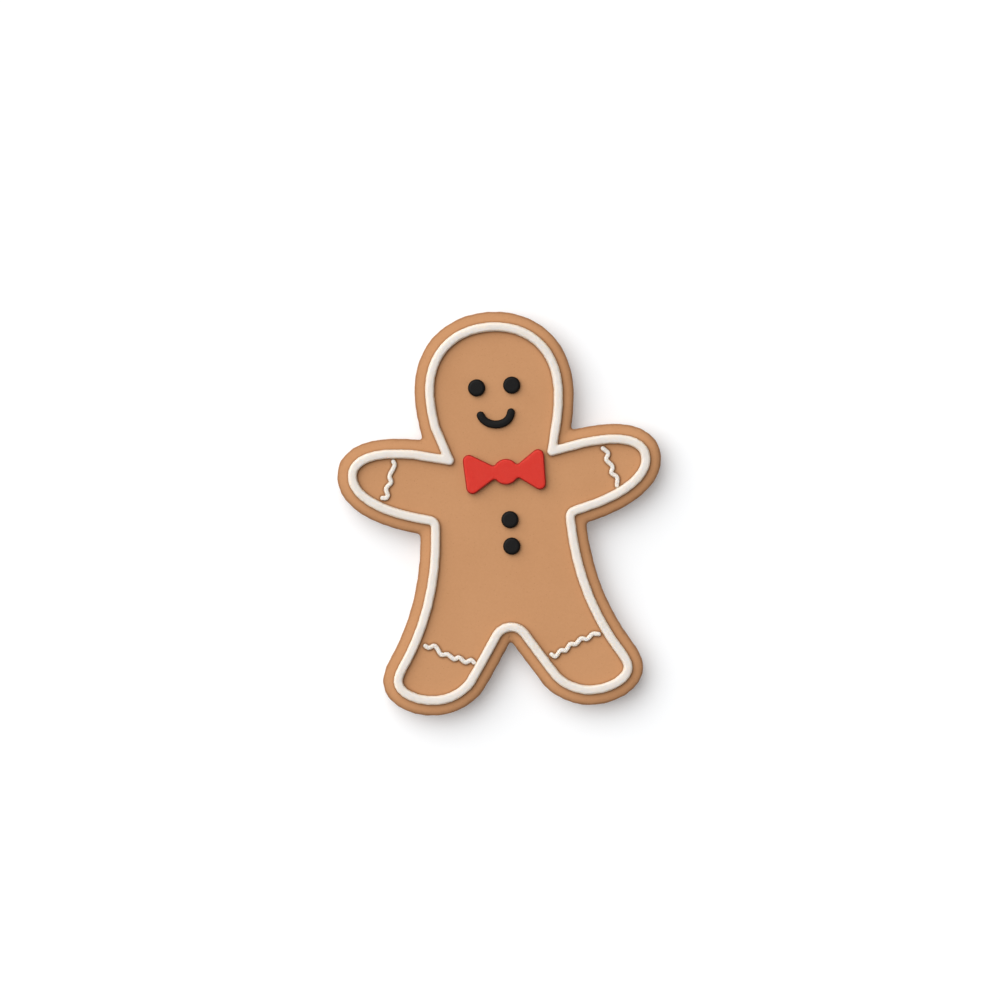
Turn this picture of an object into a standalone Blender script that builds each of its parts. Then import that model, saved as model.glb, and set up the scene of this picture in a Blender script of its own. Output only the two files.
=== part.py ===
"""Gingerbread man: a rolled and cut biscuit decorated with piped icing, lying on its back.

A Blender 4.5 script in metres, +Z up. The biscuit lies on z = 0, face up, with its head towards +Y.
It was cut with a symmetric cutter, so X = 0 is its middle line. The origin is on the surface that it
lies on, under the middle of its length. Left and right are as seen from above, left being -X.
"""

import math

import bmesh
import bpy
from mathutils import Vector
from mathutils.geometry import interpolate_bezier

MM = 0.001

# The cutter and the dough.
LENGTH = 110 * MM
ARM_SPAN = 89.4 * MM
HEAD_WIDTH = 43.8 * MM
STANCE = 71.9 * MM  # across the outsides of both feet
THICKNESS = 7.5 * MM
TOP_ROUNDING = 2.4 * MM
BASE_ROUNDING = 0.8 * MM

# The sharp inner corners of the outline, on the right side and the middle line.
NECK = Vector((20.4, 21.0)) * MM
ARMPIT = Vector((22.9, -4.8)) * MM
CROTCH = Vector((0, -35.8)) * MM

# White icing piped along the edge.
PIPING_INSET = 4.2 * MM
PIPING_WIDTH = 2.6 * MM
PIPING_HEIGHT = 1.7 * MM
SECOND_LINE_RISE = 0.1 * MM  # the body's line was piped after the head's, over its ends
ARMPIT_BEND = 1.8 * MM
CROTCH_BEND = 4.6 * MM
LEFT_OVERRUN = Vector((1.55, -1.15)) * MM  # the piping ran this much further into the left neck
RIGHT_OVERRUN = Vector((-0.25, -0.55)) * MM
OVERRUN_REACH = 8 * MM

# White squiggles across the wrists and ankles: where each starts, turns and ends, in millimetres.
SQUIGGLE_WIDTH = 1.3 * MM
SQUIGGLE_HEIGHT = 0.9 * MM
SQUIGGLES = {
    "cuff_left": [(-28.9, 15.6), (-28.7, 14.4), (-30.25, 11.7), (-29.9, 10),
                  (-31.4, 8.4), (-31.05, 6.6), (-31.6, 5.75), (-32.6, 5.8)],
    "cuff_right": [(28.9, 15.35), (30.25, 13.85), (29.6, 12.15), (31.2, 10.15),
                   (30.75, 8.45), (32.2, 7.15), (32.05, 4.85)],
    "anklet_left": [(-23.6, -35.6), (-22.6, -36.2), (-20.9, -35.8), (-19.4, -38.3), (-17.7, -38.3),
                    (-15.9, -39.8), (-14.5, -39.4), (-12.9, -40.85), (-11.3, -40.3), (-10.5, -41.1)],
    "anklet_right": [(10.9, -40.3), (12, -40.95), (13.5, -39.35), (14.9, -39.5), (16.2, -37.85),
                     (17.8, -37.9), (19.4, -36.45), (21, -36.75), (22.6, -35.45), (24.2, -35.6)],
}

# Black icing: two eyes and two buttons, and a smile.
DOT_DIAMETER = 4.8 * MM
DOT_HEIGHT = 1.5 * MM
DOT_ROUNDING = 0.7 * MM
DOTS = {
    "eye_left": Vector((-4.7, 34.3)) * MM,
    "eye_right": Vector((5.0, 34.4)) * MM,
    "button_upper": Vector((2.0, -2.5)) * MM,
    "button_lower": Vector((2.0, -9.8)) * MM,
}
SMILE = [Vector(place) * MM for place in  # its two ends, with the handles of its arc between them
         [(-4.1, 26.65), (-2.9, 23.0), (3.6, 22.8), (4.3, 26.95)]]
SMILE_WIDTH = 2.3 * MM
SMILE_HEIGHT = 1.4 * MM

# Red bow tie: a round knot with a flared loop to each side.
BOW_HEIGHT = 2.0 * MM
BOW_ROUNDING = 0.6 * MM
KNOT_CENTRE = Vector((1.8, 10.7)) * MM
KNOT_RADIUS = 3.6 * MM
NOTCH_ANGLE = math.radians(29)  # how far above and below its middle the loops leave the knot
RIGHT_LOOP = [Vector((12.6, 18.0)) * MM, Vector((12.6, 3.6)) * MM]  # sharp corners, clockwise
LEFT_LOOP = [Vector((-9.2, 3.9)) * MM, Vector((-10.1, 17.4)) * MM]
LOOP_ROUNDING = 1.7 * MM
NOTCH_BEND = 0.8 * MM  # how far the icing filled the notches between knot and loops

GAP = 0.3 * MM  # between the biscuit's top and the underside of the icing
ICING_BASE = THICKNESS + GAP

# Fineness of the faceted solids.
OUTLINE_STEP = 2.8 * MM
SQUIGGLE_STEPS = 4  # from one turn to the next
ARC_STEPS = 7
ROUNDING_SEGMENTS = 3
DOT_SIDES = 22
NOSE_ANGLES = [math.radians(a) for a in (75, 50, 25)]  # of the sections that round a bead's end
FLAT_ANGLE = math.radians(0.5)  # faces that meet at less than this become one
SETTLING = 0.45  # a bead's underside is cut flat at this share of its radius below its widest line
PLUMPNESS = 3.2  # how full a bead's section is: 2 is half an ellipse, and more has steeper sides

OBJECT = bpy.data.collections.new("gingerbread_man")


# ---- Paths in plan, as lists of 2D points ----

def anchor(x, y, arrive=(0, 0), leave=(0, 0)):
    """A Bezier anchor with its handles, which are given in millimetres from its place."""
    place = Vector((x, y))
    return place, place + Vector(arrive) * MM, place + Vector(leave) * MM


def mirrored(bezier_anchor):
    """The same anchor on the left side, where the path runs through it the other way."""
    place, arrive, leave = (Vector((-v.x, v.y)) for v in bezier_anchor)
    return place, leave, arrive


def biscuit_outline():
    """The biscuit's edge, clockwise from the crown of the head."""
    crown = anchor(0, LENGTH / 2, (-13, 0), (13, 0))
    right_side = [
        anchor(HEAD_WIDTH / 2, 33 * MM, (0, 13), (0, -4)),
        anchor(*NECK, (0.9, 4), (3.5, 0.5)),
        anchor(31 * MM, 21.95 * MM, (-3.7, 0), (8.2, 0)),
        anchor(ARM_SPAN / 2, 12 * MM, (0, 6.2), (0, -8)),
        anchor(*ARMPIT, (12.7, 3), (0.5, -12.5)),
        anchor(32.5 * MM, -37 * MM, (-5.3, 8.5), (1.7, -2.7)),
        anchor(STANCE / 2, -45 * MM, (0, 2.8), (0, -5.8)),
        anchor(21.3 * MM, -LENGTH / 2, (7.9, 0), (-5.5, 0)),
        anchor(8.6 * MM, -49 * MM, (2.15, -2.75), (-2.6, 3.8)),
    ]
    crotch = anchor(*CROTCH, (2.6, -4.1), (-2.6, -4.1))
    anchors = [crown, *right_side, crotch, *map(mirrored, reversed(right_side))]
    path = []
    for (start, _, leave), (end, arrive, _) in zip(anchors, anchors[1:] + anchors[:1]):
        steps = math.ceil((end - start).length / OUTLINE_STEP)
        path += interpolate_bezier(start, leave, arrive, end, steps + 1)[:-1]
    return path


def inset(path, distance):
    """A closed clockwise path moved inwards, with mitred corners."""
    moved = []
    for before, here, after in zip(path[-1:] + path[:-1], path, path[1:] + path[:1]):
        arriving = (here - before).normalized()
        leaving = (after - here).normalized()
        inwards = Vector((arriving.y + leaving.y, -arriving.x - leaving.x))
        moved.append(here + inwards * distance / (1 + arriving.dot(leaving)))
    return moved


def nearest(path, place):
    """The index of the path's point that is nearest to a place."""
    return min(range(len(path)), key=lambda i: (path[i] - place).length)


def fillet(path, corner, radius):
    """A closed path with the corner at this place rounded."""
    at = nearest(path, corner)
    tip = path[at]
    before = path[at - 1]
    after = path[(at + 1) % len(path)]
    turn = (tip - before).angle(after - tip)
    reach = radius * math.tan(turn / 2)
    ring = path[at:] + path[:at]
    kept = [point for point in ring if (point - tip).length > reach]
    start = tip + (kept[-1] - tip).normalized() * reach
    end = tip + (kept[0] - tip).normalized() * reach
    bend = 4 / 3 * math.tan(turn / 4) / math.tan(turn / 2)
    arc = interpolate_bezier(start, start.lerp(tip, bend), end.lerp(tip, bend), end, ARC_STEPS)
    return kept + arc


def stretch(path, start, end):
    """The part of a closed path between two of its indices, in the path's direction."""
    return path[start:end + 1] if start < end else path[start:] + path[:end + 1]


def smooth_through(points, steps):
    """A smooth open path through the points, each turning along the line between its neighbours."""
    places = [Vector(point) * MM for point in points]
    ends = [places[0] * 2 - places[1], *places, places[-1] * 2 - places[-2]]
    path = []
    for before, start, end, after in zip(ends, ends[1:], ends[2:], ends[3:]):
        leave = start + (end - before) / 6
        arrive = end - (after - start) / 6
        path += interpolate_bezier(start, leave, arrive, end, steps + 1)[:-1]
    return path + places[-1:]


def arc_points(centre, radius, start, end, steps):
    """Points on an arc between two angles, the ends included."""
    angles = [start + (end - start) * i / steps for i in range(steps + 1)]
    return [centre + Vector((math.cos(a), math.sin(a))) * radius for a in angles]


# ---- Solids ----

def flat_curve(name, path):
    """A curve object with one straight-sided spline through the path."""
    curve = bpy.data.curves.new(name, "CURVE")
    spline = curve.splines.new("POLY")
    spline.points.add(len(path) - 1)
    for point, place in zip(spline.points, path):
        point.co = (*place, 0, 1)
    shape = bpy.data.objects.new(name, curve)
    OBJECT.objects.link(shape)
    return shape


def as_mesh(shape):
    """Turns a curve object into a mesh object of the same name, its loose caps welded on."""
    graph = bpy.context.evaluated_depsgraph_get()
    mesh = bpy.data.meshes.new_from_object(shape.evaluated_get(graph))
    welded = bmesh.new()
    welded.from_mesh(mesh)
    bmesh.ops.remove_doubles(welded, verts=welded.verts, dist=0.01 * MM)
    bmesh.ops.recalc_face_normals(welded, faces=welded.faces)
    welded.to_mesh(mesh)
    welded.free()
    name = shape.name
    place = shape.matrix_world.copy()
    bpy.data.objects.remove(shape)
    solid = bpy.data.objects.new(name, mesh)
    solid.matrix_world = place
    OBJECT.objects.link(solid)
    return solid


def round_rims(solid, top_rounding, base_rounding):
    """Rounds the top and base rims of an upright slab whose middle height is at z = 0."""
    prism = bmesh.new()
    prism.from_mesh(solid.data)
    bmesh.ops.dissolve_limit(prism, angle_limit=FLAT_ANGLE, verts=prism.verts, edges=prism.edges)
    weight = prism.edges.layers.float.new("bevel_weight_edge")
    for edge in prism.edges:
        low, high = sorted(vertex.co.z for vertex in edge.verts)
        if low > 0:
            edge[weight] = 1
        elif high < 0:
            edge[weight] = base_rounding / top_rounding
    prism.to_mesh(solid.data)
    prism.free()
    bevel = solid.modifiers.new("rounded rims", "BEVEL")
    bevel.limit_method = "WEIGHT"
    bevel.width = top_rounding
    bevel.segments = ROUNDING_SEGMENTS
    bevel.use_clamp_overlap = False


def slab(name, path, base, height, top_rounding, base_rounding):
    """A solid of even height with this outline in plan and rounded rims."""
    shape = flat_curve(name, path)
    shape.data.dimensions = "2D"
    shape.data.fill_mode = "BOTH"
    shape.data.extrude = height / 2
    shape.data.splines[0].use_cyclic_u = True
    solid = as_mesh(shape)
    round_rims(solid, top_rounding, base_rounding)
    solid.location.z = base + height / 2
    return solid


def tube(name, path, width):
    """A round solid along the path, with rounded ends."""
    radius = width / 2
    start_way = (path[0] - path[1]).normalized() * radius
    end_way = (path[-1] - path[-2]).normalized() * radius
    first_nose = [(path[0] + start_way * math.sin(a), math.cos(a)) for a in NOSE_ANGLES]
    last_nose = [(path[-1] + end_way * math.sin(a), math.cos(a)) for a in reversed(NOSE_ANGLES)]
    sections = first_nose + [(place, 1) for place in path] + last_nose
    shape = flat_curve(name, [place for place, _ in sections])
    for point, (_, size) in zip(shape.data.splines[0].points, sections):
        point.radius = size
    shape.data.dimensions = "3D"
    shape.data.twist_mode = "Z_UP"
    shape.data.bevel_depth = radius
    shape.data.bevel_resolution = 2
    shape.data.use_fill_caps = True
    return as_mesh(shape)


def settle(solid, width, height):
    """Cuts a tube's underside flat and makes it a plump bead of this height, as icing settles."""
    radius = width / 2
    drop = SETTLING * radius
    bead = bmesh.new()
    bead.from_mesh(solid.data)
    everything = bead.verts[:] + bead.edges[:] + bead.faces[:]
    cut = bmesh.ops.bisect_plane(bead, geom=everything, dist=0.001 * MM, plane_co=(0, 0, -drop),
                                 plane_no=(0, 0, 1), clear_inner=True)
    rim = [piece for piece in cut["geom_cut"] if isinstance(piece, bmesh.types.BMEdge)]
    bmesh.ops.triangle_fill(bead, edges=rim, use_beauty=True)
    for vertex in bead.verts:
        share = min(1, max(0, (vertex.co.z + drop) / (radius + drop)))
        vertex.co.z = height * (1 - (1 - share ** 2) ** (PLUMPNESS / 2)) ** (1 / PLUMPNESS)
    bmesh.ops.recalc_face_normals(bead, faces=bead.faces)
    bead.to_mesh(solid.data)
    bead.free()
    solid.location.z = ICING_BASE
    return solid


def join(solid, other):
    """Makes one body of two overlapping solids."""
    union = solid.modifiers.new("join", "BOOLEAN")
    union.operation = "UNION"
    union.solver = "EXACT"
    union.object = other
    graph = bpy.context.evaluated_depsgraph_get()
    joined = bpy.data.meshes.new_from_object(solid.evaluated_get(graph))
    solid.modifiers.clear()
    solid.data = joined
    bpy.data.objects.remove(other)
    return solid


def paint(solid, material):
    """Gives a solid its material, shaded smooth but for its sharp edges."""
    solid.data.materials.clear()
    solid.data.materials.append(material)
    solid.data.shade_smooth()
    solid.data.set_sharp_from_angle(angle=math.radians(50))


def principled(name, colour, roughness):
    """A non-metallic material from an sRGB hex colour."""
    material = bpy.data.materials.new(name)
    material.use_nodes = True
    channels = [int(colour[i:i + 2], 16) / 255 for i in (1, 3, 5)]
    linear = [c / 12.92 if c <= 0.04045 else ((c + 0.055) / 1.055) ** 2.4 for c in channels]
    shader = material.node_tree.nodes["Principled BSDF"]
    shader.inputs["Base Color"].default_value = (*linear, 1)
    shader.inputs["Roughness"].default_value = roughness
    shader.inputs["Metallic"].default_value = 0
    return material


# ---- The sub-parts ----

def build_biscuit(outline, material):
    biscuit = slab("biscuit", outline, 0, THICKNESS, TOP_ROUNDING, BASE_ROUNDING)
    paint(biscuit, material)


def build_icing_border(outline, material):
    """Two lines, around the head and around the rest, whose ends meet at the neck."""
    path = inset(outline, PIPING_INSET)
    flip = Vector((-1, 1))
    corners = [path[nearest(outline, place)] for place in
               (NECK * flip, NECK, ARMPIT * flip, ARMPIT, CROTCH)]
    left_neck, right_neck, left_armpit, right_armpit, crotch = corners
    for neck, overrun in ((left_neck.copy(), LEFT_OVERRUN), (right_neck.copy(), RIGHT_OVERRUN)):
        for point in path:
            near = max(0, 1 - (point - neck).length / OVERRUN_REACH)
            point += overrun * near ** 2
    path = fillet(path, left_armpit, ARMPIT_BEND)
    path = fillet(path, right_armpit, ARMPIT_BEND)
    path = fillet(path, crotch, CROTCH_BEND)
    left = nearest(path, left_neck)
    right = nearest(path, right_neck)
    head_line = tube("icing_border", stretch(path, left, right), PIPING_WIDTH)
    body_line = tube("body_line", stretch(path, right, left), PIPING_WIDTH)
    body_line.location.z = SECOND_LINE_RISE
    border = join(head_line, body_line)
    paint(settle(border, PIPING_WIDTH, PIPING_HEIGHT), material)


def build_squiggles(material):
    for name, points in SQUIGGLES.items():
        squiggle = tube(name, smooth_through(points, SQUIGGLE_STEPS), SQUIGGLE_WIDTH)
        paint(settle(squiggle, SQUIGGLE_WIDTH, SQUIGGLE_HEIGHT), material)


def build_dots(material):
    for name, place in DOTS.items():
        disc = arc_points(place, DOT_DIAMETER / 2, 0, -math.tau, DOT_SIDES)[:-1]
        paint(slab(name, disc, ICING_BASE, DOT_HEIGHT, DOT_ROUNDING, DOT_ROUNDING / 3), material)


def build_smile(material):
    smile = tube("smile", interpolate_bezier(*SMILE, 2 * ARC_STEPS), SMILE_WIDTH)
    paint(settle(smile, SMILE_WIDTH, SMILE_HEIGHT), material)


def build_bow_tie(material):
    """The outline runs around the knot's top, the right loop, the knot's foot and the left loop."""
    left_notch = math.pi - NOTCH_ANGLE
    over_knot = arc_points(KNOT_CENTRE, KNOT_RADIUS, left_notch, NOTCH_ANGLE, ARC_STEPS)
    under_knot = arc_points(KNOT_CENTRE, KNOT_RADIUS, -NOTCH_ANGLE, -left_notch, ARC_STEPS)
    path = over_knot + RIGHT_LOOP + under_knot + LEFT_LOOP
    notches = [over_knot[0], over_knot[-1], under_knot[0], under_knot[-1]]
    for notch in notches:
        path = fillet(path, notch, NOTCH_BEND)
    for corner in RIGHT_LOOP + LEFT_LOOP:
        path = fillet(path, corner, LOOP_ROUNDING)
    bow = slab("bow_tie", path, ICING_BASE, BOW_HEIGHT, BOW_ROUNDING, BOW_ROUNDING / 3)
    paint(bow, material)


for leftover in list(bpy.data.objects):
    bpy.data.objects.remove(leftover)
bpy.context.scene.collection.children.link(OBJECT)

gingerbread = principled("gingerbread", "#C89468", 0.8)
white_icing = principled("white icing", "#EEEAE2", 0.5)
black_icing = principled("black icing", "#252623", 0.45)
red_icing = principled("red icing", "#D63F35", 0.45)

edge = biscuit_outline()
build_biscuit(edge, gingerbread)
build_icing_border(edge, white_icing)
build_squiggles(white_icing)
build_dots(black_icing)
build_smile(black_icing)
build_bow_tie(red_icing)
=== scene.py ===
# %% [markdown]
# # An iced gingerbread man
# A gingerbread man is rolled spiced dough, cut with a shaped cutter, baked, and decorated with royal
# icing from piping bags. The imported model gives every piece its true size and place, so this lesson
# only adds looks: a fine surface for each piece, a material for each food, and a small studio.
# Blender works in metres, so a constant for the millimetre keeps the sizes readable.

import math

import bmesh
import bpy
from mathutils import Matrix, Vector, noise
from mathutils.kdtree import KDTree


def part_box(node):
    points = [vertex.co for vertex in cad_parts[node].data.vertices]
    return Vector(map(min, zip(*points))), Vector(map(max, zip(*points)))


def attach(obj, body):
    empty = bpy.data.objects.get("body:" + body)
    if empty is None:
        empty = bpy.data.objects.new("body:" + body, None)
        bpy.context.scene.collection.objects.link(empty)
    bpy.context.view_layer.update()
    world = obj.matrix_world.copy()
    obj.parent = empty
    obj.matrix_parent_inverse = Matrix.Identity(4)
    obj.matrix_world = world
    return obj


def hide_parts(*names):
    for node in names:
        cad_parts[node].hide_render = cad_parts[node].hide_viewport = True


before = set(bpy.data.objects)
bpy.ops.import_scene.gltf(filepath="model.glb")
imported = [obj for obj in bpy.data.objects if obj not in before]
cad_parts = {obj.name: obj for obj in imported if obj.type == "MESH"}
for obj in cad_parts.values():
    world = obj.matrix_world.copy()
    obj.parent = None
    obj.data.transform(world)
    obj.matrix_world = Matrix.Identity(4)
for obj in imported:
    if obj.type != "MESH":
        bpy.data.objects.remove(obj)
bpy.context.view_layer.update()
MM = 0.001
print("nodes:", sorted(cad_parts))

# %% [markdown]
# ## A fine mesh from each measured solid
# The solids have flat facets, because they were made to be measured and weighed. Food has no facets.
# A voxel remesh wraps a solid in small even squares, and a few rounds of smoothing melt the facets
# away. It is the right tool here, because dough and icing are soft things that set: they have no
# sharp edges to lose. The copy's corner points are merged first, as its triangles come in loose.

# %% A helper that copies a solid as a fine, smooth mesh
MERGE = 0.001 * MM


def fine_copy(node, name, voxel, rounds):
    """A new object with an even mesh of about the voxel's size around the node's solid."""
    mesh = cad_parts[node].data.copy()
    piece = bpy.data.objects.new(name, mesh)
    bpy.context.scene.collection.objects.link(piece)
    merged = bmesh.new()
    merged.from_mesh(mesh)
    bmesh.ops.remove_doubles(merged, verts=merged.verts, dist=MERGE)
    merged.to_mesh(mesh)
    merged.free()
    remesh = piece.modifiers.new("even mesh", "REMESH")
    remesh.mode = "VOXEL"
    remesh.voxel_size = voxel
    graph = bpy.context.evaluated_depsgraph_get()
    piece.data = bpy.data.meshes.new_from_object(piece.evaluated_get(graph))
    piece.modifiers.clear()
    soft = bmesh.new()
    soft.from_mesh(piece.data)
    for _ in range(rounds):
        bmesh.ops.smooth_vert(soft, verts=soft.verts, factor=0.5,
                              use_axis_x=True, use_axis_y=True, use_axis_z=True)
    soft.to_mesh(piece.data)
    soft.free()
    piece.data.name = name
    piece.data.shade_smooth()
    return piece

# %% [markdown]
# ## Colours and nodes
# Colours are written as sRGB hex, the way a picture editor shows them, and a shader wants them linear.
# One more small function adds a node, sets its settings and joins its inputs, so that each material
# below reads as a short recipe.

# %% Helpers for colours and shader nodes
def linear(colour):
    """The linear colour, with alpha, of an sRGB hex value."""
    channels = [int(colour[i:i + 2], 16) / 255 for i in (1, 3, 5)]
    return (*[c / 12.92 if c <= 0.04045 else ((c + 0.055) / 1.055) ** 2.4 for c in channels], 1)


def add(tree, kind, inputs=None, **settings):
    """Adds a node: settings are its properties, and inputs are values or the outputs to link."""
    node = tree.nodes.new("ShaderNode" + kind)
    for key, value in settings.items():
        setattr(node, key, value)
    for key, value in (inputs or {}).items():
        if isinstance(value, bpy.types.NodeSocket):
            tree.links.new(value, node.inputs[key])
        else:
            node.inputs[key].default_value = value
    return node


def new_material(name):
    """An empty node material, its Object coordinates and its output."""
    material = bpy.data.materials.new(name)
    material.use_nodes = True
    tree = material.node_tree
    tree.nodes.clear()
    output = add(tree, "OutputMaterial")
    place = add(tree, "TexCoord").outputs["Object"]
    return material, tree, output, place

# %% [markdown]
# ## Baked gingerbread
# Gingerbread is a dense, matt crumb of flour, treacle and spice. To the eye it is warm brown with faint
# cloudy patches where it browned unevenly, dark flecks of spice, and pores too small to count. The rim and
# the sides brown first, because they are thin and face the oven's air, and the underside browns on the
# tray; the same darkening of the rim is also painted shade where the edge rounds over. A painted contact
# shadow darkens the crumb right beside the white icing. Slow noise makes the clouds, fine noise the crumb,
# the surface's own direction tells the rim, the sides and the underside from the top, and a number stored
# at each point of the mesh says how near the icing is, for the painted contact shadow. The rolling pin
# smoothed the top, and the cutter tore the sides, so the crumb is coarser and more pitted there.
# Noise scales are one over the size of a patch in metres.

# %% Gingerbread material
CLOUD = 14 * MM
CRUMB = 0.7 * MM
FLECK = 1.1 * MM
PORE_DEPTH = 0.05 * MM
SIDE_PORE_DEPTH = 0.3 * MM
RIM_STARTS = 0.8  # the normal's Z at and below which the surface is fully side
TOP_CRUMB = 0.12  # how much of the darker crumb shows
SIDE_CRUMB = 0.6
TOP_SPICE = 0.2
SIDE_SPICE = 0.6
# how dark the rim and sides get: baked browning, and also painted shade on the rounded rim
SIDE_BROWNING_AND_SHADE = 0.75
# how dark the painted contact shadow beside the white icing gets
CONTACT_SHADE_DARKNESS = 0.9


def baked_gingerbread():
    material, tree, output, place = new_material("baked gingerbread")
    clouds = add(tree, "TexNoise", {"Vector": place, "Scale": 1 / CLOUD, "Detail": 3.0})
    crumb = add(tree, "TexNoise", {"Vector": place, "Scale": 1 / CRUMB, "Detail": 4.0, "Roughness": 0.6})
    flecks = add(tree, "TexVoronoi", {"Vector": place, "Scale": 1 / FLECK, "Randomness": 1.0})
    facing = add(tree, "SeparateXYZ", {"Vector": add(tree, "NewGeometry").outputs["Normal"]})
    side = add(tree, "MapRange", {"Value": facing.outputs["Z"], "From Min": RIM_STARTS,
                                  "From Max": 1.0, "To Min": 1.0, "To Max": 0.0}).outputs["Result"]
    top = add(tree, "Mix", {"Factor": clouds.outputs["Fac"], "A": linear("#C28F65"),
                            "B": linear("#BA875D")}, data_type="RGBA")
    coarseness = add(tree, "MapRange", {"Value": side, "To Min": TOP_CRUMB, "To Max": SIDE_CRUMB})
    grain = add(tree, "MapRange", {"Value": crumb.outputs["Fac"], "From Min": 0.3, "From Max": 0.7,
                                   "To Min": 0.0, "To Max": coarseness.outputs["Result"]})
    crumbly = add(tree, "Mix", {"Factor": grain.outputs["Result"], "A": top.outputs[2],
                                "B": linear("#A26E45")}, data_type="RGBA")
    darkness = add(tree, "MapRange", {"Value": side, "To Min": TOP_SPICE, "To Max": SIDE_SPICE})
    spice = add(tree, "MapRange", {"Value": flecks.outputs["Distance"], "From Min": 0.09, "From Max": 0.15,
                                   "To Min": darkness.outputs["Result"], "To Max": 0.0})
    spiced = add(tree, "Mix", {"Factor": spice.outputs["Result"], "A": crumbly.outputs[2],
                               "B": linear("#80502E")}, data_type="RGBA")
    # baked browning of the rim, sides and underside, and painted shade on the rounded rim
    browning_and_shade = add(tree, "MapRange", {"Value": side, "To Min": 0.0, "To Max": SIDE_BROWNING_AND_SHADE})
    browned_and_shaded = add(tree, "Mix", {"Factor": browning_and_shade.outputs["Result"], "A": spiced.outputs[2],
                                "B": linear("#8E6340")}, data_type="RGBA")
    # painted contact shadow: the crumb darkens right beside the white icing
    nearness = add(tree, "Attribute", attribute_name="painted_contact_shade")
    contact_shade = add(tree, "MapRange", {"Value": nearness.outputs["Fac"], "From Min": 0.0, "From Max": 1.0,
                                  "To Min": 0.0, "To Max": CONTACT_SHADE_DARKNESS})
    contact_shaded = add(tree, "Mix", {"Factor": contact_shade.outputs["Result"], "A": browned_and_shaded.outputs[2],
                               "B": linear("#6A4120")}, data_type="RGBA")
    pores = add(tree, "MapRange", {"Value": side, "To Min": PORE_DEPTH, "To Max": SIDE_PORE_DEPTH})
    bump = add(tree, "Bump", {"Height": crumb.outputs["Fac"], "Distance": pores.outputs["Result"],
                              "Strength": 0.5})
    shader = add(tree, "BsdfPrincipled", {"Base Color": contact_shaded.outputs[2], "Roughness": 0.82,
                                          "IOR": 1.45, "Specular IOR Level": 0.3,
                                          "Normal": bump.outputs["Normal"]})
    tree.links.new(shader.outputs["BSDF"], output.inputs["Surface"])
    return material


gingerbread = baked_gingerbread()
print("made", gingerbread.name)

# %% [markdown]
# ## Royal icing
# Royal icing is egg white beaten with fine sugar. It sets hard with a soft sheen, and light sinks a little
# way into it, which keeps its shadows pale. The black and the red are the same icing with food colour, so
# one function makes all three. Tiny sugar grains and air bubbles break up its sheen. Its steep edges carry
# a painted shade, darker than its top: it deepens the coloured icing and warms the white towards brown.

# %% Icing materials
SUGAR_GRAIN = 0.5 * MM
GRAIN_HEIGHT = 0.02 * MM
STEEP = 0.65  # the normal's Z where the painted edge shade is strongest
LEVEL = 0.98  # and where it fades out
EDGE_SHADE_STRENGTH = 0.85


def royal_icing(name, colour, shade, edge, gloss, depth):
    """Set icing of this colour, varied a little towards the shade, with a painted shade towards the edge
    colour where steep.
    """
    material, tree, output, place = new_material(name)
    grain = add(tree, "TexNoise", {"Vector": place, "Scale": 1 / SUGAR_GRAIN, "Detail": 3.0})
    tint = add(tree, "Mix", {"Factor": grain.outputs["Fac"], "A": linear(colour), "B": linear(shade)},
               data_type="RGBA")
    facing = add(tree, "SeparateXYZ", {"Vector": add(tree, "NewGeometry").outputs["Normal"]})
    # painted shade: steep sides are mixed towards the darker edge colour
    steep_shade = add(tree, "MapRange", {"Value": facing.outputs["Z"], "From Min": STEEP, "From Max": LEVEL,
                                   "To Min": EDGE_SHADE_STRENGTH, "To Max": 0.0})
    edge_shaded = add(tree, "Mix", {"Factor": steep_shade.outputs["Result"], "A": tint.outputs[2],
                                 "B": linear(edge)}, data_type="RGBA")
    bump = add(tree, "Bump", {"Height": grain.outputs["Fac"], "Distance": GRAIN_HEIGHT, "Strength": 0.6})
    shader = add(tree, "BsdfPrincipled", {"Base Color": edge_shaded.outputs[2], "Roughness": 0.55,
                                          "IOR": 1.45, "Specular IOR Level": gloss,
                                          "Subsurface Weight": 1.0 if depth else 0.0,
                                          "Subsurface Radius": (1.0, 0.9, 0.75),
                                          "Subsurface Scale": depth, "Normal": bump.outputs["Normal"]})
    tree.links.new(shader.outputs["BSDF"], output.inputs["Surface"])
    return material


# the fourth colour of each icing is the painted shade on its steep edges
white_icing = royal_icing("white royal icing", "#E1DBD5", "#DAD4CD", "#CFC0AD", 0.15, 1.4 * MM)
black_icing = royal_icing("black royal icing", "#141313", "#0E0D0C", "#040303", 0.15, 0)
red_icing = royal_icing("red royal icing", "#D53E30", "#CE372C", "#82150F", 0.15, 0.3 * MM)
print("made", white_icing.name, black_icing.name, red_icing.name)

# %% [markdown]
# ## The biscuit
# Dough relaxes in the oven: the cutter's edge slumps to a flatter curve and the top swells very gently
# towards the middle. The fine copy is pressed into that shape. Its rim is flattened by scaling its
# depth below the top, and slow noise leaves the faint unevenness that rolling and baking give. Finer
# noise roughens the sides, where the cutter dragged through the dough.

# %% Biscuit
BISCUIT_MESH = 0.4 * MM
CAD_RIM = 2.4 * MM
BAKED_RIM = 0.9 * MM
BASE_RIM = 0.8 * MM
UNEVENNESS = 0.07 * MM
UNEVEN_PATCH = 11 * MM
DRAG = 0.14 * MM  # how far the cut side strays
DRAG_PATCH = 2.2 * MM
NOISE_SEED = 5  # noise vectors differ from run to run unless they are seeded

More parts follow.
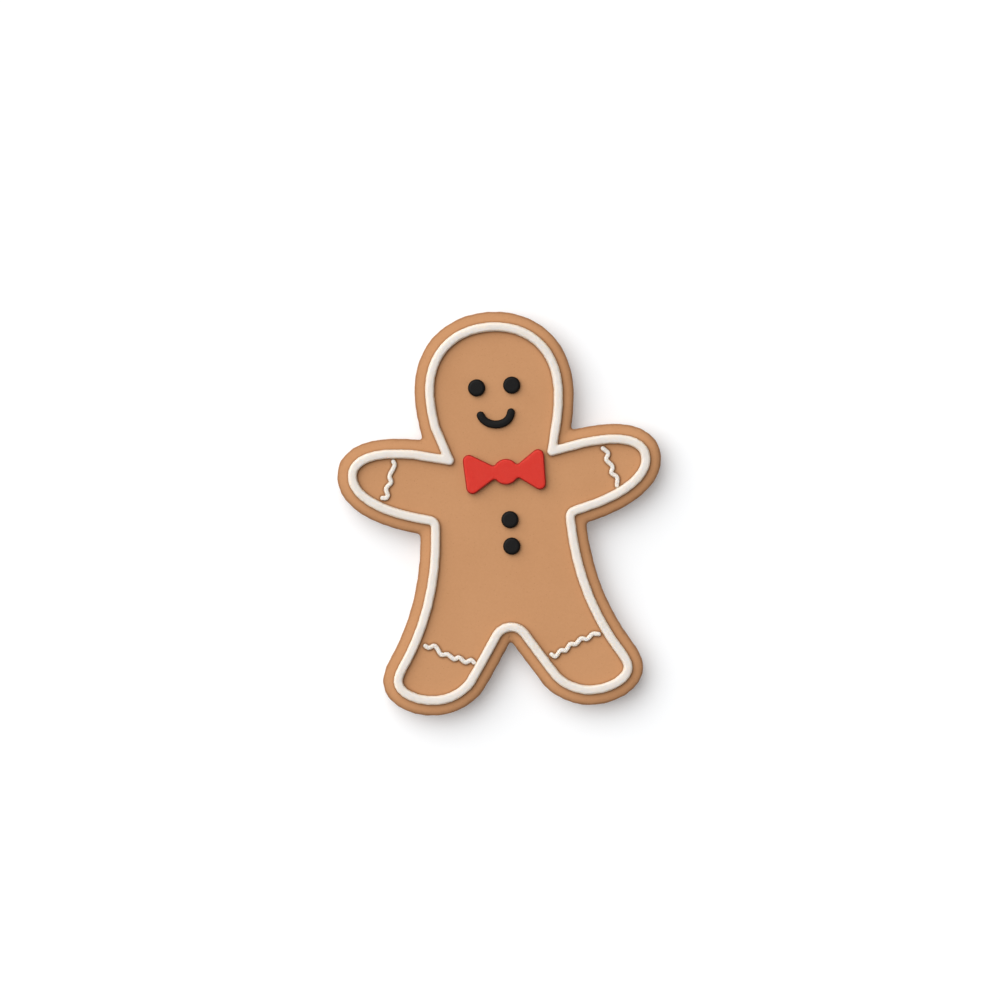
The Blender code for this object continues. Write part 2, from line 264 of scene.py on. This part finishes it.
noise.seed_set(NOISE_SEED)
biscuit = fine_copy("biscuit", "baked_biscuit", BISCUIT_MESH, 4)
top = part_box("biscuit")[1].z
for vertex in biscuit.data.vertices:
    below_top = top - vertex.co.z
    drag = noise.noise_vector(vertex.co / DRAG_PATCH) * DRAG * min(1, below_top / CAD_RIM)
    vertex.co.xy += drag.xy
    if below_top < CAD_RIM:
        vertex.co.z = top - below_top * BAKED_RIM / CAD_RIM
    elif vertex.co.z > BASE_RIM:
        share = (vertex.co.z - BASE_RIM) / (top - CAD_RIM - BASE_RIM)
        vertex.co.z = BASE_RIM + share * (top - BAKED_RIM - BASE_RIM)
    height = vertex.co.z / top
    vertex.co.z += height * UNEVENNESS * noise.noise(vertex.co / UNEVEN_PATCH)
biscuit.data.materials.clear()
biscuit.data.materials.append(gingerbread)
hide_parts("biscuit")
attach(biscuit, "root")
print("biscuit:", len(biscuit.data.polygons), "faces")

# %% [markdown]
# ## The icing
# Each line and dot was piped wet and set onto the biscuit, so it touches it all along. The measured
# solids keep a small gap there, which a fine copy closes by moving down, until its underside is just
# inside the crumb.

# %% Icing pieces
SINK = 0.12 * MM
WOBBLE = 0.06 * MM  # how far a piped line strays
WOBBLE_PATCH = 2.5 * MM
GRIT = 0.04 * MM  # fine roughness of a piped line's skin
GRIT_PATCH = 0.7 * MM
FINISHES = {"white_icing": white_icing, "black_icing": black_icing, "red_icing": red_icing}
ICING = {  # the new piece's name, its finish, the size of its mesh and the rounds of smoothing
    "icing_border": ("piped_border", "white_icing", 0.2 * MM, 4),
    "cuff_left": ("piped_cuff_left", "white_icing", 0.1 * MM, 4),
    "cuff_right": ("piped_cuff_right", "white_icing", 0.1 * MM, 4),
    "anklet_left": ("piped_anklet_left", "white_icing", 0.1 * MM, 4),
    "anklet_right": ("piped_anklet_right", "white_icing", 0.1 * MM, 4),
    "eye_left": ("piped_eye_left", "black_icing", 0.1 * MM, 5),
    "eye_right": ("piped_eye_right", "black_icing", 0.1 * MM, 5),
    "smile": ("piped_smile", "black_icing", 0.1 * MM, 5),
    "button_upper": ("piped_button_upper", "black_icing", 0.1 * MM, 5),
    "button_lower": ("piped_button_lower", "black_icing", 0.1 * MM, 5),
    "bow_tie": ("flooded_bow_tie", "red_icing", 0.12 * MM, 6),
}
FOOT = 0.2 * MM  # the white icing's lowest points, kept to find the crumb beside it
icing_feet = []
for node, (name, slot, voxel, rounds) in ICING.items():
    piece = fine_copy(node, name, voxel, rounds)
    gap = min(vertex.co.z for vertex in piece.data.vertices) - top
    for vertex in piece.data.vertices:
        if slot == "white_icing":
            stray = WOBBLE * noise.noise_vector(vertex.co / WOBBLE_PATCH)
            stray += GRIT * noise.noise_vector(vertex.co / GRIT_PATCH)
            vertex.co += stray * min(1, (vertex.co.z - top - gap) / SINK)
        vertex.co.z -= gap + SINK
    piece.data.materials.clear()
    piece.data.materials.append(FINISHES[slot])
    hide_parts(node)
    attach(piece, "root")
    if slot == "white_icing":
        icing_feet += [vertex.co.copy() for vertex in piece.data.vertices if vertex.co.z < top + FOOT]
    print(name + ":", len(piece.data.polygons), "faces")

# %% [markdown]
# ## Where the icing meets the crumb
# A painted contact shadow, a dark line in the crumb, lies beside the white icing and beside no other
# icing. The gingerbread material asks how near the icing is. A k-d tree answers that quickly for every
# point of the biscuit's mesh: it holds the lowest points of all the white icing, and gives the nearest
# one.

# %% Nearness to the icing, stored on the biscuit
# how far the painted contact shadow beside the white icing reaches, and how steeply it fades
CONTACT_SHADE_REACH = 0.8 * MM
CONTACT_SHADE_FALLOFF = 1.5

tree = KDTree(len(icing_feet))
for index, foot in enumerate(icing_feet):
    tree.insert(foot, index)
tree.balance()
nearness = biscuit.data.attributes.new("painted_contact_shade", "FLOAT", "POINT")
distances = [tree.find(vertex.co)[2] for vertex in biscuit.data.vertices]
nearness.data.foreach_set("value", [max(0, 1 - far / CONTACT_SHADE_REACH) ** CONTACT_SHADE_FALLOFF for far in distances])
print("icing feet:", len(icing_feet), "points")

# %% [markdown]
# ## The studio
# The biscuit lies on white paper under one broad window-like light from the upper left. A sun lamp with
# a very wide angle gives such soft, even shadows at any scale, and a pale sky fills them. The paper lies
# on a light table, which shines through it a little and lifts the shadow where it is deepest. The sky
# is brighter at the horizon, so that the paper seems to go on for ever in a low view.

# %% Paper floor
FLOOR_REACH = 6.0
TABLE_GLOW = 0.18
FIBRE = 0.4 * MM


def white_paper():
    material, tree, output, place = new_material("white matt paper")
    fibres = add(tree, "TexNoise", {"Vector": place, "Scale": 1 / FIBRE, "Detail": 2.0})
    bump = add(tree, "Bump", {"Height": fibres.outputs["Fac"], "Distance": 0.01 * MM, "Strength": 0.2})
    shader = add(tree, "BsdfPrincipled", {"Base Color": linear("#E3E4E5"), "Roughness": 0.9,
                                          "Specular IOR Level": 0.1, "Emission Color": (1, 1, 1, 1),
                                          "Emission Strength": TABLE_GLOW,
                                          "Normal": bump.outputs["Normal"]})
    tree.links.new(shader.outputs["BSDF"], output.inputs["Surface"])
    return material


sheet = bmesh.new()
bmesh.ops.create_grid(sheet, x_segments=1, y_segments=1, size=FLOOR_REACH)
floor_mesh = bpy.data.meshes.new("paper_floor")
sheet.to_mesh(floor_mesh)
sheet.free()
floor = bpy.data.objects.new("paper_floor", floor_mesh)
bpy.context.scene.collection.objects.link(floor)
floor.data.materials.append(white_paper())
print("floor:", 2 * FLOOR_REACH, "m wide")

# %% Lights
LIGHT_BEARING = math.radians(135)  # from +X, anticlockwise
LIGHT_HEIGHT = math.radians(47)
LIGHT_SPREAD = math.radians(80)
LIGHT_STRENGTH = 3.66
SKY_STRENGTH = 0.28
HORIZON = 0.02  # the sky is brightest up to this height, as the Z of its direction
UPPER_SKY = 0.25  # and evenly dim above this one

lamp = bpy.data.lights.new("window", "SUN")
lamp.energy = LIGHT_STRENGTH
lamp.angle = LIGHT_SPREAD
window = bpy.data.objects.new("window", lamp)
bpy.context.scene.collection.objects.link(window)
towards_light = Vector((math.cos(LIGHT_BEARING) * math.cos(LIGHT_HEIGHT),
                        math.sin(LIGHT_BEARING) * math.cos(LIGHT_HEIGHT), math.sin(LIGHT_HEIGHT)))
window.rotation_euler = towards_light.to_track_quat("Z", "Y").to_euler()

world = bpy.data.worlds.new("pale studio")
bpy.context.scene.world = world
world.use_nodes = True
sky = world.node_tree
sky.nodes.clear()
direction = add(sky, "SeparateXYZ", {"Vector": add(sky, "TexCoord").outputs["Generated"]})
glow = add(sky, "MapRange", {"Value": direction.outputs["Z"], "From Min": HORIZON,
                             "From Max": UPPER_SKY, "To Min": 1.0, "To Max": SKY_STRENGTH})
background = add(sky, "Background", {"Color": (1, 1, 1, 1), "Strength": glow.outputs["Result"]})
add(sky, "OutputWorld", {"Surface": background.outputs["Background"]})
print("light from", [round(part, 2) for part in towards_light])

# %% [markdown]
# ## The camera
# The camera looks straight down from well above, as for a flat-lay picture, so that the biscuit shows
# its true outline. It is turned a little, which tips the figure to the left.

# %% Camera
VIEW_WIDTH = 275.8 * MM
VIEW_CENTRE = Vector((-0.36, 3.08)) * MM
TILT = math.radians(3.9)
OUTLINE_HEIGHT = 4 * MM
LENS = 250.0

camera_data = bpy.data.cameras.new("overhead")
camera_data.lens = LENS
distance = VIEW_WIDTH * LENS / camera_data.sensor_width
camera = bpy.data.objects.new("overhead", camera_data)
bpy.context.scene.collection.objects.link(camera)
camera.location = (*VIEW_CENTRE, OUTLINE_HEIGHT + distance)
camera.rotation_euler = (0, 0, -TILT)
bpy.context.scene.camera = camera
bpy.context.scene.view_settings.view_transform = "Standard"
print("camera height:", round(camera.location.z, 3), "m")
